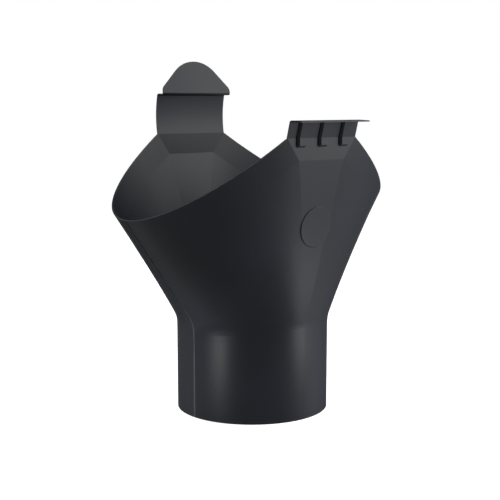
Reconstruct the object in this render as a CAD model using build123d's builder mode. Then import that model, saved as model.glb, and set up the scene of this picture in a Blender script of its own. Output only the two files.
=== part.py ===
from build123d import *
from math import acos, atan2, cos, degrees, radians, sin, sqrt, tan
import os

# Gutter outlet: one piece of pressed, coated steel sheet that hangs under a half-round gutter.
# The gutter lies along X, the spigot points down, and the ribbed hook is at the front, on -Y.
# The origin is on the spigot's axis, at its lower end. Sizes are millimetres, angles degrees.

# Sheet and spigot: the spigot is straight up to just below the neck, where it swells a little
sheet = 0.6
spigot_diameter = 75.0
neck_height = 45.8
neck_bend_radius = 14.0
neck_run_in = 2.2
neck_swell = 0.1

# Mouth: its rim lies on the gutter's cylinder, and falls from the shoulders to its two ends
gutter_radius = 49.5
mouth_length = 151.4
shoulder_height = 134.7
rim_slope_angle = 34.15
strap_width = 43.8

# Collar: the creases that cross the flare a little below the rim, and the flat facets below it
collar_below_shoulder = 10.2
collar_corner_width = 29.0
facet_foot_above_neck = 8.6

# Front hook: a leaning neck and a flat lip that catches under the gutter's front bead
hook_neck_height = 7.3
hook_neck_lean = 1.9
hook_lip_depth = 7.0
hook_lip_fall = 0.3
hook_bend_radius = 0.6

# Pressed ribs that stiffen the hook
rib_count = 3
rib_pitch = 13.6
rib_width = 5.6
rib_height = 1.4
rib_foot_below_shoulder = 4.2
rib_corner_radius = 1.2
rib_edge_chamfer = 0.9

# Rear tab: a curved strap, a ledge for the gutter's rear edge, and a tongue that bends over it
tab_strap_height = 20.2
tab_strap_lean = 0.6
tab_ledge_depth = 4.6
tab_bend_radius = 0.5
tongue_lean_angle = 9.0
tongue_straight_height = 2.7
tongue_side_angle = 47.0
tongue_corner_radius = 3.4
tongue_nose_radius = 18.5

# Blank round pad pressed on the front facet, and the seam down one end
pad_diameter = 19.4
pad_height = 0.4
pad_side_angle = 45.0
pad_drop = 31.1
seam_width = 0.8
seam_depth = 0.15

# How far a cutting solid runs past what it cuts
overrun = 5.0

# How near a height an edge has to be to count as lying at it
tolerance = 0.01

spigot_radius = spigot_diameter / 2
neck_radius = spigot_radius + neck_swell
strap_half = strap_width / 2
collar_half = collar_corner_width / 2
mouth_half = mouth_length / 2
collar_corner_height = shoulder_height - collar_below_shoulder
rib_foot_height = shoulder_height - rib_foot_below_shoulder

# The rim and the collar creases lie in planes that fall at the same slope from their corners
slope = radians(rim_slope_angle)
rim_drop = (mouth_half - strap_half) * tan(slope)
mouth_low_height = shoulder_height - rim_drop

# The wall is straight in section at the ends of the mouth, so the collar's low point is on it
wall_run = (mouth_half - neck_radius) / (mouth_low_height - neck_height)
neck_bend = atan2(mouth_half - neck_radius, mouth_low_height - neck_height)
collar_low_height = (
    collar_half + collar_corner_height / tan(slope) - neck_radius + neck_height * wall_run
) / (wall_run + 1 / tan(slope))

# The spigot is straight up to a little below where the neck's bend begins
spigot_straight = neck_height - neck_bend_radius * tan(neck_bend / 2) - neck_run_in

# The trapezoid under each strap is upright: the collar is as deep as the rim at its corner
strap_depth = sqrt(gutter_radius**2 - (gutter_radius - rim_drop) ** 2)
collar_drop = collar_corner_height - collar_low_height
collar_radius = (collar_drop**2 + strap_depth**2) / (2 * collar_drop)

# Where the collar's plane meets the flare's middle line, along the slope from the corner
collar_middle = -collar_half / cos(slope)


def falling_plane(corner_half, corner_height):
    """Plane through a corner line, with its x falling along the slope and y across the gutter."""
    return Plane(
        origin=(corner_half, 0, corner_height),
        x_dir=(cos(slope), 0, -sin(slope)),
        z_dir=(sin(slope), 0, cos(slope)),
    )


def mouth_ellipse(radius, drop, inset):
    """Centre and semi-axes of a lying cylinder's cut by a falling plane, with its corner kept."""
    centre = -(radius - drop) / sin(slope)
    along = radius / sin(slope) - inset
    across = (strap_depth - inset) / sqrt(1 - (centre / along) ** 2)
    return centre, along, across


def end_section(plane, centre, along, across, chord=0.0):
    """Face between an arc about a centre on the plane's x axis and the chord that closes it."""
    start = degrees(acos((chord - centre) / along))
    with BuildSketch(plane) as section:
        with BuildLine():
            arc = EllipticalCenterArc((centre, 0), along, across, -start, arc_size=2 * start)
            Line(arc @ 1, arc @ 0)
        make_face()
    return section.sketch


def half_disc(radius, height):
    """Half of a round section of the spigot, on the +X side."""
    with BuildSketch(Plane.XY.offset(height)) as section:
        Circle(radius)
        Rectangle(radius, 2 * radius, align=(Align.MIN, Align.CENTER), mode=Mode.INTERSECT)
    return section.sketch


def neck_rise(inset):
    """Height of the neck's corner in section, with the faces set in."""
    return neck_height + inset * tan(neck_bend / 2)


def facet_line(inset):
    """Depth and height of a facet's foot, and how far the facet leans out for each unit of height."""
    centre, along, across = mouth_ellipse(collar_radius, collar_drop, inset)
    ridge_depth = across * sqrt(1 - ((collar_middle - centre) / along) ** 2)
    ridge_height = collar_corner_height + collar_half * tan(slope)
    ridge_lean = (ridge_depth - neck_radius + inset) / (ridge_height - neck_rise(inset))
    foot_depth = neck_radius - inset + ridge_lean * facet_foot_above_neck
    foot_height = neck_rise(inset) + facet_foot_above_neck
    lean = (strap_depth - inset - foot_depth) / (collar_corner_height - foot_height)
    return foot_depth, foot_height, lean


def flare(inset):
    """Solid of the flare below the collar, with no facets, and its soft bend into the spigot."""
    neck = neck_rise(inset)
    collar_plane = falling_plane(collar_half, collar_corner_height)
    collar_ellipse = mouth_ellipse(collar_radius, collar_drop, inset)
    with BuildPart() as body:
        # One half: its upper section runs on past the collar's corners to the middle
        straight_face = half_disc(spigot_radius - inset, spigot_straight)
        neck_face = half_disc(neck_radius - inset, neck)
        loft([straight_face, neck_face], ruled=True)
        upper_face = end_section(collar_plane, *collar_ellipse, chord=collar_middle)
        loft([neck_face, upper_face], ruled=True)
        neck_edges = body.edges().filter_by_position(Axis.Z, neck - tolerance, neck + tolerance)
        fillet(neck_edges.sort_by(Axis.X)[-1], neck_bend_radius + inset)
        mirror(about=Plane.YZ)
    return body.part


def funnel(inset, over=0.0):
    """Solid of the spigot, flare and mouth, with its faces set in and its open ends run over."""
    depth = strap_depth - inset
    with BuildPart() as body:
        add(flare(inset))
        # The facets are flat cuts: each starts on the flare's middle line and ends at the collar
        foot_depth, foot_height, lean = facet_line(inset)
        below_foot = facet_foot_above_neck / 2
        with BuildSketch(Plane.YZ):
            Polygon(
                (0, 0),
                (2 * depth, 0),
                (2 * depth, foot_height - below_foot),
                (foot_depth - lean * below_foot, foot_height - below_foot),
                (depth, collar_corner_height),
                (depth, shoulder_height),
                (0, shoulder_height),
                align=None,
            )
            mirror(about=Plane.YZ)
        extrude(amount=mouth_half, both=True, mode=Mode.INTERSECT)
        # The upright trapezoids over the facets
        with BuildSketch(Plane.XY.offset(collar_corner_height)):
            Rectangle(collar_corner_width, 2 * depth)
        with BuildSketch(Plane.XY.offset(shoulder_height)) as shoulders:
            Rectangle(strap_width, 2 * depth)
        loft(ruled=True)
        # The two ends of the mouth, between the collar and the rim
        collar_ellipse = mouth_ellipse(collar_radius, collar_drop, inset)
        collar_face = end_section(falling_plane(collar_half, collar_corner_height), *collar_ellipse)
        rim_ellipse = mouth_ellipse(gutter_radius, rim_drop, inset)
        rim_face = end_section(falling_plane(strap_half, shoulder_height), *rim_ellipse)
        end = loft([collar_face, rim_face], ruled=True)
        mirror(end, about=Plane.YZ)
        if over:
            extrude(shoulders.sketch, amount=over)
            cap = extrude(rim_face, amount=over)
            mirror(cap, about=Plane.YZ)
        # The spigot's circle starts on the middle line, where the two halves meet
        with BuildSketch(Plane(origin=(0, 0, -over), x_dir=(0, -1, 0))):
            Circle(spigot_radius - inset)
        extrude(amount=spigot_straight + over)
    return body.part


def strap_outline(top):
    """Seen from the front: the trapezoid below a strap, then the strap's full width to a height."""
    return [
        (-strap_half, top),
        (-strap_half, shoulder_height),
        (-collar_half, collar_corner_height),
        (collar_half, collar_corner_height),
        (strap_half, shoulder_height),
        (strap_half, top),
    ]


# The front hook, bent out from the trapezoid: neck and lip
neck_top = shoulder_height + hook_neck_height
neck_depth = strap_depth + hook_neck_lean
with BuildPart() as hook:
    with BuildSketch(Plane.YZ):
        with BuildLine():
            FilletPolyline(
                (-strap_depth, collar_corner_height),
                (-strap_depth, shoulder_height),
                (-neck_depth, neck_top),
                (-neck_depth - hook_lip_depth, neck_top - hook_lip_fall),
                radius=hook_bend_radius,
            )
            offset(amount=sheet, side=Side.RIGHT)
        make_face()
    extrude(amount=strap_half, both=True)
    with BuildSketch(Plane.XZ):
        Polygon(*strap_outline(neck_top + overrun), align=None)
    extrude(amount=2 * gutter_radius, both=True, mode=Mode.INTERSECT)

# The rear tab, bent in from its trapezoid: strap, ledge and tongue
ledge_height = shoulder_height + tab_strap_height
ledge_depth = strap_depth - tab_strap_lean
tongue_depth = ledge_depth - tab_ledge_depth
tongue_shoulder = ledge_height + tongue_straight_height
tongue_peak = tongue_shoulder + strap_half / tan(radians(tongue_side_angle))
peak_depth = tongue_depth + (tongue_peak - ledge_height) * tan(radians(tongue_lean_angle))
with BuildPart() as tab:
    with BuildSketch(Plane.YZ):
        with BuildLine() as tab_line:
            Line((strap_depth, collar_corner_height), (strap_depth, shoulder_height))
            RadiusArc((strap_depth, shoulder_height), (ledge_depth, ledge_height), -gutter_radius)
            Line((ledge_depth, ledge_height), (tongue_depth, ledge_height))
            Line((tongue_depth, ledge_height), (peak_depth, tongue_peak))
            strap_bend = tab_line.vertices().sort_by_distance((ledge_depth, ledge_height))[0]
            fillet(strap_bend, tab_bend_radius + sheet)
            tongue_bend = tab_line.vertices().sort_by_distance((tongue_depth, ledge_height))[0]
            fillet(tongue_bend, tab_bend_radius)
            offset(amount=sheet, side=Side.LEFT)
        make_face()
    extrude(amount=strap_half, both=True)
    with BuildSketch(Plane.XZ) as tab_outline:
        Polygon(*strap_outline(tongue_shoulder), (0, tongue_peak), align=None)
        fillet(tab_outline.vertices().sort_by(Axis.Y)[-1], tongue_nose_radius)
        corners = tab_outline.vertices().filter_by_position(Axis.Y, tongue_shoulder, tongue_shoulder)
        fillet(corners, tongue_corner_radius)
    extrude(amount=2 * gutter_radius, both=True, mode=Mode.INTERSECT)


def ribs(inset, root, top):
    """Row of ribs over the trapezoid and the neck, from a depth behind their sheet to a height."""
    foot = rib_foot_height + inset
    reach = rib_height - inset
    top_lean = hook_neck_lean * (top - shoulder_height) / hook_neck_height
    with BuildPart() as row:
        for index in range(rib_count):
            centre = (index - (rib_count - 1) / 2) * rib_pitch
            with BuildSketch(Plane.YZ.offset(centre)):
                Polygon(
                    (root - strap_depth, foot),
                    (-reach - strap_depth, foot),
                    (-reach - strap_depth, shoulder_height),
                    (-reach - strap_depth - top_lean, top),
                    (root - strap_depth - top_lean, top),
                    (root - strap_depth, shoulder_height),
                    align=None,
                )
            extrude(amount=rib_width / 2 - inset, both=True)
        feet = row.faces().filter_by_position(Axis.Z, foot, foot)
        fillet(feet.edges().filter_by(Axis.Y), rib_corner_radius - inset)
        fronts = row.faces().filter_by(lambda face: face.normal_at().Y < -cos(radians(45)))
        sides = fronts.edges().filter_by(Axis.X, reverse=True)
        foot_edges = fronts.edges().filter_by_position(Axis.Z, foot, foot)
        chamfer(sides + foot_edges, rib_edge_chamfer - inset)
    return row.part


# The blank pad stands on the front facet, square to it
facet_lean = facet_line(0)[2]
pad_plane = Plane(
    origin=(0, pad_drop * facet_lean - strap_depth, collar_corner_height - pad_drop),
    x_dir=(1, 0, 0),
    z_dir=(0, -1, -facet_lean),
)


def pad(inset, root):
    """Low round pad with sloping sides on the front facet, from a depth behind its sheet."""
    root_spread = root * tan(radians(pad_side_angle))
    with BuildPart() as disc:
        with BuildSketch(pad_plane.offset(-root)):
            Circle(pad_diameter / 2 - inset + root_spread)
        extrude(amount=root + pad_height - inset, taper=pad_side_angle)
    return disc.part


# The seam is a fine groove from the rim's low point down to the spigot's end
seam_radius = spigot_radius - seam_depth
seam_neck = (-neck_radius + seam_depth, neck_rise(seam_depth))
seam_top = mouth_low_height + overrun
seam_reach = seam_neck[0] - (seam_top - seam_neck[1]) * wall_run
with BuildPart() as seam:
    with BuildSketch(Plane.XZ) as seam_outline:
        Polygon(
            (-seam_radius, -overrun),
            (-seam_radius, spigot_straight),
            seam_neck,
            (seam_reach, seam_top),
            (seam_reach - overrun, seam_top),
            (seam_reach - overrun, -overrun),
            align=None,
        )
        neck_corner = seam_outline.vertices().sort_by_distance(seam_neck)[0]
        fillet(neck_corner, neck_bend_radius + seam_depth)
    extrude(amount=seam_width / 2, both=True)

with BuildPart() as gutter_outlet:
    add(funnel(0))
    add(funnel(sheet, overrun), mode=Mode.SUBTRACT)
    add(seam.part, mode=Mode.SUBTRACT)
    add(hook.part)
    add(tab.part)
    # Pressed forms: raised outside, with hollows of the same sheet behind them
    add(ribs(0, sheet / 2, neck_top + sheet / 2))
    add(ribs(sheet, overrun, neck_top - hook_bend_radius - sheet), mode=Mode.SUBTRACT)
    add(pad(0, sheet / 2))
    add(pad(sheet, overrun), mode=Mode.SUBTRACT)

gutter_outlet.part.label = "gutter_outlet"
os.makedirs("parts", exist_ok=True)
export_step(gutter_outlet.part, "parts/gutter_outlet.step")
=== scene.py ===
from math import cos, radians, sin

import bpy
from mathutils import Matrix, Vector

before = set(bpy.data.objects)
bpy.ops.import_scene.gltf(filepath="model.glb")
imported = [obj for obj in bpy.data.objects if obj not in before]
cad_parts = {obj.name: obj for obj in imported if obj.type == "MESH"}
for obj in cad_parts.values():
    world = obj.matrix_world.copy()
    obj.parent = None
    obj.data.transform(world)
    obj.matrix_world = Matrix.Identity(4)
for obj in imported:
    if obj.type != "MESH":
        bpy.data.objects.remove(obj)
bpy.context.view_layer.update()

MM = 0.001


def hex_colour(text):
    """Linear RGBA from an sRGB hex colour."""
    channels = [int(text[i:i + 2], 16) / 255 for i in (0, 2, 4)]
    return tuple(c / 12.92 if c <= 0.04045 else ((c + 0.055) / 1.055) ** 2.4 for c in channels) + (1.0,)


def node(tree, kind, *values, **settings):
    """A shader node. Plain values go to its sockets in order, and named ones to a socket or a setting.

    A value that is itself a socket is linked.
    """
    made = tree.nodes.new(kind)
    named = []
    for key, value in settings.items():
        name = key.replace("_", " ")
        if name in made.inputs:
            named.append((made.inputs[name], value))
        else:
            setattr(made, key, value)
    in_order = [socket for socket in made.inputs if socket.enabled]
    for socket, value in [*zip(in_order, values), *named]:
        if isinstance(value, bpy.types.NodeSocket):
            tree.links.new(value, socket)
        else:
            socket.default_value = value
    return made


def per_metre(size):
    """The scale of a noise whose features are about as wide as the size in millimetres."""
    return 1 / (size * MM)


def seen_rays(tree):
    """The output that is 1 for camera, glossy and transmission rays, and 0 for all others."""
    path = node(tree, "ShaderNodeLightPath")
    either = node(
        tree,
        "ShaderNodeMath",
        path.outputs["Is Camera Ray"],
        path.outputs["Is Glossy Ray"],
        operation="MAXIMUM",
    )
    any_of_three = node(
        tree,
        "ShaderNodeMath",
        either.outputs["Value"],
        path.outputs["Is Transmission Ray"],
        operation="MAXIMUM",
    )
    return any_of_three.outputs["Value"]


# The outlet is pressed from coil-coated steel: galvanised sheet with a dark satin polyester paint.
# The satin paint shows the lights as soft bands along the spigot and down the front facet.
# Sizes are in millimetres.
SHEET_THICKNESS = 0.6
CLOUD_SIZE = 45
PEEL_SIZE = 1.6
STREAK_WIDTH = 1.4
STREAK_SQUEEZE = 0.024
SPOT_SIZE = 5
SEAM_WIDTH = 0.8
SEAM_FADE_START = 44
SEAM_FADE_TOP = 65
LEFT_END_START = -20
PEEL_DEPTH = 0.02
STREAK_DEPTH = 0.03
PAINT = hex_colour("101217")
PAINT_FADED = hex_colour("171920")
PAINT_STRETCHED = hex_colour("2A2C31")
PAINT_RUBBED = hex_colour("44474C")
# Painted highlight: the pale colour of the seam's line, which stands for its edge catching the light
SEAM_PAINTED_HIGHLIGHT = hex_colour("3C3F44")

# A Mix node gives its colour at the third of its outputs
MIXED_COLOUR = 2

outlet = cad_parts["gutter_outlet"]
paint = bpy.data.materials.new("satin_coil_coated_steel")
paint.use_nodes = True
paint_tree = paint.node_tree
paint_tree.nodes.clear()
place = node(paint_tree, "ShaderNodeTexCoord").outputs["Object"]

# Broad clouds, where the cured paint is a little thinner and paler
clouds = node(
    paint_tree,
    "ShaderNodeTexNoise",
    Vector=place,
    Scale=per_metre(CLOUD_SIZE),
    Detail=2.0,
    Roughness=0.5,
)
cloudy = node(
    paint_tree,
    "ShaderNodeMapRange",
    Value=clouds.outputs["Fac"],
    From_Min=0.35,
    From_Max=0.68,
)

# Orange peel in the paint. The real one is finer and would not show
peel = node(
    paint_tree,
    "ShaderNodeTexNoise",
    Vector=place,
    Scale=per_metre(PEEL_SIZE),
    Detail=1.0,
    Roughness=0.4,
)

# Draw lines: the press drags faint upright streaks, some 60 mm long, into the sheet.
# They too are wider than the real ones, which would not show
upright = node(paint_tree, "ShaderNodeMapping", Vector=place, Scale=(1.0, 1.0, STREAK_SQUEEZE))
streaks = node(
    paint_tree,
    "ShaderNodeTexNoise",
    Vector=upright.outputs["Vector"],
    Scale=per_metre(STREAK_WIDTH),
    Detail=2.0,
    Roughness=0.55,
)

# Edges and creases: the bevel's normal turns away from the surface's own where the sheet ends or bends
surface = node(paint_tree, "ShaderNodeNewGeometry")
rounded = node(paint_tree, "ShaderNodeBevel", samples=6, Radius=0.5 * SHEET_THICKNESS * MM)
turn = node(
    paint_tree,
    "ShaderNodeVectorMath",
    surface.outputs["Normal"],
    rounded.outputs["Normal"],
    operation="DOT_PRODUCT",
)
edge = node(
    paint_tree,
    "ShaderNodeMapRange",
    Value=turn.outputs["Value"],
    From_Min=0.995,
    From_Max=0.86,
)

# Rubbed spots break up the wear so that it comes and goes along an edge
spots = node(
    paint_tree,
    "ShaderNodeTexNoise",
    Vector=place,
    Scale=per_metre(SPOT_SIZE),
    Detail=3.0,
    Roughness=0.6,
)
worn_spots = node(
    paint_tree,
    "ShaderNodeMapRange",
    Value=spots.outputs["Fac"],
    From_Min=0.40,
    From_Max=0.65,
)
wear = node(
    paint_tree,
    "ShaderNodeMath",
    edge.outputs["Result"],
    worn_spots.outputs["Result"],
    operation="MULTIPLY",
)

# The seam down the -X end: a painted highlight, a thin pale line on the spigot that stands for the lap
# edge catching the light, and fades out up the flare
apart = node(paint_tree, "ShaderNodeSeparateXYZ", Vector=place)
off_seam = node(paint_tree, "ShaderNodeMath", apart.outputs["Y"], operation="ABSOLUTE")
on_seam = node(
    paint_tree,
    "ShaderNodeMapRange",
    Value=off_seam.outputs["Value"],
    From_Min=0.9 * SEAM_WIDTH * MM,
    From_Max=0.3 * SEAM_WIDTH * MM,
)
at_left_end = node(
    paint_tree,
    "ShaderNodeMapRange",
    Value=apart.outputs["X"],
    From_Min=0.0,
    From_Max=LEFT_END_START * MM,
)
below_flare = node(
    paint_tree,
    "ShaderNodeMapRange",
    Value=apart.outputs["Z"],
    From_Min=SEAM_FADE_TOP * MM,
    From_Max=SEAM_FADE_START * MM,
)
on_left_end = node(
    paint_tree,
    "ShaderNodeMath",
    on_seam.outputs["Result"],
    at_left_end.outputs["Result"],
    operation="MULTIPLY",
)
# Where the painted highlight lies along the seam, fading out up the flare
painted_seam_highlight = node(
    paint_tree,
    "ShaderNodeMath",
    on_left_end.outputs["Value"],
    below_flare.outputs["Result"],
    operation="MULTIPLY",
)

# The paint's colour: faded in the clouds, paler where it is stretched or rubbed, and with a painted
# highlight along the seam
faded = node(
    paint_tree,
    "ShaderNodeMix",
    cloudy.outputs["Result"],
    PAINT,
    PAINT_FADED,
    data_type="RGBA",
)
stretched = node(
    paint_tree,
    "ShaderNodeMix",
    edge.outputs["Result"],
    faded.outputs[MIXED_COLOUR],
    PAINT_STRETCHED,
    data_type="RGBA",
)
rubbed = node(
    paint_tree,
    "ShaderNodeMix",
    wear.outputs["Value"],
    stretched.outputs[MIXED_COLOUR],
    PAINT_RUBBED,
    data_type="RGBA",
)
# The last mix lays the painted seam highlight over the paint
coated = node(
    paint_tree,
    "ShaderNodeMix",
    painted_seam_highlight.outputs["Value"],
    rubbed.outputs[MIXED_COLOUR],
    SEAM_PAINTED_HIGHLIGHT,
    data_type="RGBA",
)

# The satin is a little duller in the clouds, where the paint is thin
satin = node(
    paint_tree,
    "ShaderNodeMapRange",
    Value=clouds.outputs["Fac"],
    From_Min=0.3,
    From_Max=0.7,
    To_Min=0.37,
    To_Max=0.43,
)

# The matting powder in the paint takes the gloss away where the surface is seen at a low angle
facing = node(paint_tree, "ShaderNodeLayerWeight", Blend=0.5)
low_angle = node(
    paint_tree,
    "ShaderNodeMapRange",
    Value=facing.outputs["Facing"],
    From_Min=0.35,
    From_Max=0.80,
    To_Min=0.0,
    To_Max=0.55,
)
dulled = node(
    paint_tree,
    "ShaderNodeMath",
    satin.outputs["Result"],
    low_angle.outputs["Result"],
    operation="ADD",
)

peel_bump = node(
    paint_tree,
    "ShaderNodeBump",
    Strength=0.25,
    Distance=PEEL_DEPTH * MM,
    Height=peel.outputs["Fac"],
)
draw_bump = node(
    paint_tree,
    "ShaderNodeBump",
    Strength=0.35,
    Distance=STREAK_DEPTH * MM,
    Height=streaks.outputs["Fac"],
    Normal=peel_bump.outputs["Normal"],
)
shader = node(
    paint_tree,
    "ShaderNodeBsdfPrincipled",
    Base_Color=coated.outputs[MIXED_COLOUR],
    Roughness=dulled.outputs["Value"],
    Specular_IOR_Level=0.1,
    Normal=draw_bump.outputs["Normal"],
)
node(paint_tree, "ShaderNodeOutputMaterial", Surface=shader.outputs["BSDF"])
outlet.data.materials.clear()
outlet.data.materials.append(paint)

# Camera, from the photo's perspective
VIEW_AZIMUTH = radians(41.87)
VIEW_PITCH = radians(8.98)
VIEW_DISTANCE = 523.1 * MM
VIEW_HEIGHT = 149.6 * MM
FOCAL_SHARE = 1064.9 / 500
SENSOR = 36.0
SHIFT_X = -0.0044
SHIFT_Y = 0.0451
NEAREST_SEEN = 10 * MM

camera = bpy.data.objects.new("camera", bpy.data.cameras.new("camera"))
bpy.context.collection.objects.link(camera)
camera.location = (
    -VIEW_DISTANCE * sin(VIEW_AZIMUTH),
    -VIEW_DISTANCE * cos(VIEW_AZIMUTH),
    VIEW_HEIGHT,
)
camera.rotation_euler = (radians(90) - VIEW_PITCH, 0, -VIEW_AZIMUTH)
camera.data.sensor_width = SENSOR
camera.data.lens = FOCAL_SHARE * SENSOR
camera.data.shift_x = SHIFT_X
camera.data.shift_y = SHIFT_Y
camera.data.clip_start = NEAREST_SEEN
bpy.context.scene.camera = camera

# Floor: a pale matt sheet, 6 m square. Most of its white is a glow of its own, and the lights add
# the rest, so it keeps a pale shadow of the outlet
FLOOR_SIZE = 6.0
FLOOR_GLOW = 0.85
bpy.ops.mesh.primitive_plane_add(size=FLOOR_SIZE, location=(0, 0, 0))
floor = bpy.context.object
floor.name = "floor"
cover = bpy.data.materials.new("pale_studio_floor")
cover.use_nodes = True
floor_tree = cover.node_tree
floor_tree.nodes.clear()
glow_strength = node(
    floor_tree,
    "ShaderNodeMath",
    seen_rays(floor_tree),
    FLOOR_GLOW,
    operation="MULTIPLY",
)
matt = node(floor_tree, "ShaderNodeBsdfDiffuse", Color=hex_colour("BCBCBC"))
glow = node(
    floor_tree,
    "ShaderNodeEmission",
    Color=hex_colour("FFFFFF"),
    Strength=glow_strength.outputs["Value"],
)
both = node(floor_tree, "ShaderNodeAddShader", matt.outputs["BSDF"], glow.outputs["Emission"])
node(floor_tree, "ShaderNodeOutputMaterial", Surface=both.outputs["Shader"])
floor.data.materials.append(cover)

# World: white where it is seen, and a dim fill for the shaded sides
FILL = 0.3
world = bpy.data.worlds.new("studio")
bpy.context.scene.world = world
world.use_nodes = True
sky_tree = world.node_tree
sky_tree.nodes.clear()
sky_strength = node(
    sky_tree,
    "ShaderNodeMapRange",
    Value=seen_rays(sky_tree),
    To_Min=FILL,
    To_Max=1.0,
)
sky = node(
    sky_tree,
    "ShaderNodeBackground",
    Color=hex_colour("FFFFFF"),
    Strength=sky_strength.outputs["Result"],
)
node(sky_tree, "ShaderNodeOutputWorld", Surface=sky.outputs["Background"])

# The height in millimetres that the soft box is aimed at, about the middle of the outlet
AIM_HEIGHT = 85


def strip_light(name, azimuth, distance, width, bottom, top, power, spread=180):
    """An upright soft strip that faces the outlet's axis, in millimetres and degrees.

    Azimuth 0 is the front and 90 is +X. A spread under 180 is a grid in front of the strip,
    which keeps its light off what stands above.
    """
    turned = radians(azimuth)
    light = bpy.data.objects.new(name, bpy.data.lights.new(name, "AREA"))
    bpy.context.collection.objects.link(light)
    light.location = (
        distance * sin(turned) * MM,
        -distance * cos(turned) * MM,
        (bottom + top) / 2 * MM,
    )
    light.rotation_euler = (radians(90), 0, turned)
    light.data.shape = "RECTANGLE"
    light.data.size = width * MM
    light.data.size_y = (top - bottom) * MM
    light.data.spread = radians(spread)
    light.data.energy = power
    light.visible_camera = False


def soft_box(name, azimuth, elevation, distance, size, power):
    """A square soft light that faces the middle of the outlet, in millimetres and degrees."""
    turned = radians(azimuth)
    raised = radians(elevation)
    direction = Vector((
        cos(raised) * sin(turned),
        -cos(raised) * cos(turned),
        sin(raised),
    ))
    light = bpy.data.objects.new(name, bpy.data.lights.new(name, "AREA"))
    bpy.context.collection.objects.link(light)
    light.location = Vector((0, 0, AIM_HEIGHT * MM)) + direction * distance * MM
    light.rotation_euler = direction.to_track_quat("Z", "Y").to_euler()
    light.data.size = size * MM
    light.data.energy = power
    light.visible_camera = False


# The right strips make the band on the spigot and light the facet, the trapezoid and the strap behind
strip_light(
    "right_floor_strip",
    azimuth=28,
    distance=170,
    width=54,
    bottom=2,
    top=42,
    power=0.026,
    spread=80,
)
strip_light(
    "right_low_strip",
    azimuth=35,
    distance=350,
    width=150,
    bottom=2,
    top=150,
    power=0.38,
)
strip_light(
    "right_high_strip",
    azimuth=40,
    distance=350,
    width=150,
    bottom=150,
    top=350,
    power=1.35,
)
strip_light(
    "right_side_strip",
    azimuth=65,
    distance=350,
    width=150,
    bottom=150,
    top=350,
    power=0.45,
)

# The left strip makes the narrow band down the spigot, and its grid keeps the flare above dark
strip_light(
    "left_floor_strip",
    azimuth=-87,
    distance=165,
    width=48,
    bottom=2,
    top=38,
    power=0.018,
    spread=50,
)

# The rear strip lights the back of the outlet, and from the front it only touches the outline.
# The rear box stands high behind and lights the inside of the front wall
strip_light(
    "rear_strip",
    azimuth=165,
    distance=500,
    width=250,
    bottom=2,
    top=350,
    power=1.3,
)
soft_box(
    "rear_box",
    azimuth=165,
    elevation=50,
    distance=1200,
    size=600,
    power=6.0,
)

bpy.context.scene.view_settings.view_transform = "Standard"
